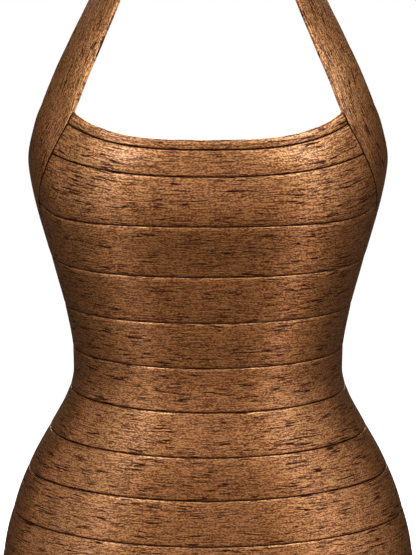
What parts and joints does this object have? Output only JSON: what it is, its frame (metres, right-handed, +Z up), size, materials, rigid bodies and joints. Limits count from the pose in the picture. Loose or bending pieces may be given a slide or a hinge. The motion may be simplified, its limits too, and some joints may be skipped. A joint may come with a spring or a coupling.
{
  "type": "bodycon dress",
  "caption": "Short bodycon halter dress of banded bronze foil knit, in its hollow worn form, with a centre-back zip and a swinging zip pull.",
  "frame": {"origin": "inner face of the neck strap at the middle of the nape, where the wearer's neck holds the dress", "axes": "+Z up, the front faces -Y, the wearer's left side is +X"},
  "size_m": [0.3748, 0.2434, 0.8428],
  "materials": {
    "foil_knit": "bronze foil finish on banded knit, soft metallic sheen",
    "zip_tape": "woven zip tape, matte",
    "zip_metal": "polished antique brass"
  },
  "bodies": {
    "dress": {"back_band_04_left": "foil_knit", "back_band_04_right": "foil_knit", "back_band_05_left": "foil_knit", "back_band_05_right": "foil_knit", "back_band_06_left": "foil_knit", "back_band_06_right": "foil_knit", "back_band_07_left": "foil_knit", "back_band_07_right": "foil_knit", "back_band_08_left": "foil_knit", "back_band_08_right": "foil_knit", "back_band_09_left": "foil_knit", "back_band_09_right": "foil_knit", "back_band_10_left": "foil_knit", "back_band_10_right": "foil_knit", "back_band_11_left": "foil_knit", "back_band_11_right": "foil_knit", "back_band_12_left": "foil_knit", "back_band_12_right": "foil_knit", "back_band_13_left": "foil_knit", "back_band_13_right": "foil_knit", "back_band_14_left": "foil_knit", "back_band_14_right": "foil_knit", "back_band_15_left": "foil_knit", "back_band_15_right": "foil_knit", "back_band_16_left": "foil_knit", "back_band_16_right": "foil_knit", "back_band_17_left": "foil_knit", "back_band_17_right": "foil_knit", "front_band_01": "foil_knit", "front_band_02": "foil_knit", "front_band_03": "foil_knit", "front_band_04": "foil_knit", "front_band_05": "foil_knit", "front_band_06": "foil_knit", "front_band_07": "foil_knit", "front_band_08": "foil_knit", "front_band_09": "foil_knit", "front_band_10": "foil_knit", "front_band_11": "foil_knit", "front_band_12": "foil_knit", "front_band_13": "foil_knit", "front_band_14": "foil_knit", "front_band_15": "foil_knit", "front_band_16": "foil_knit", "front_band_17": "foil_knit", "halter_strap_left": "foil_knit", "halter_strap_right": "foil_knit", "neckline_band": "foil_knit", "zip_slider": "zip_metal", "zip_tape_left": "zip_tape", "zip_tape_right": "zip_tape"},
    "zip_pull": {"zip_pull": "zip_metal"}
  },
  "joints": [
    {"name": "pull_swing", "type": "hinge", "parent": "dress", "child": "zip_pull", "pos_m": [0, 0.03093, -0.29152], "axis": [1, 0, 0], "range_deg": [-8, 160]}
  ]
}
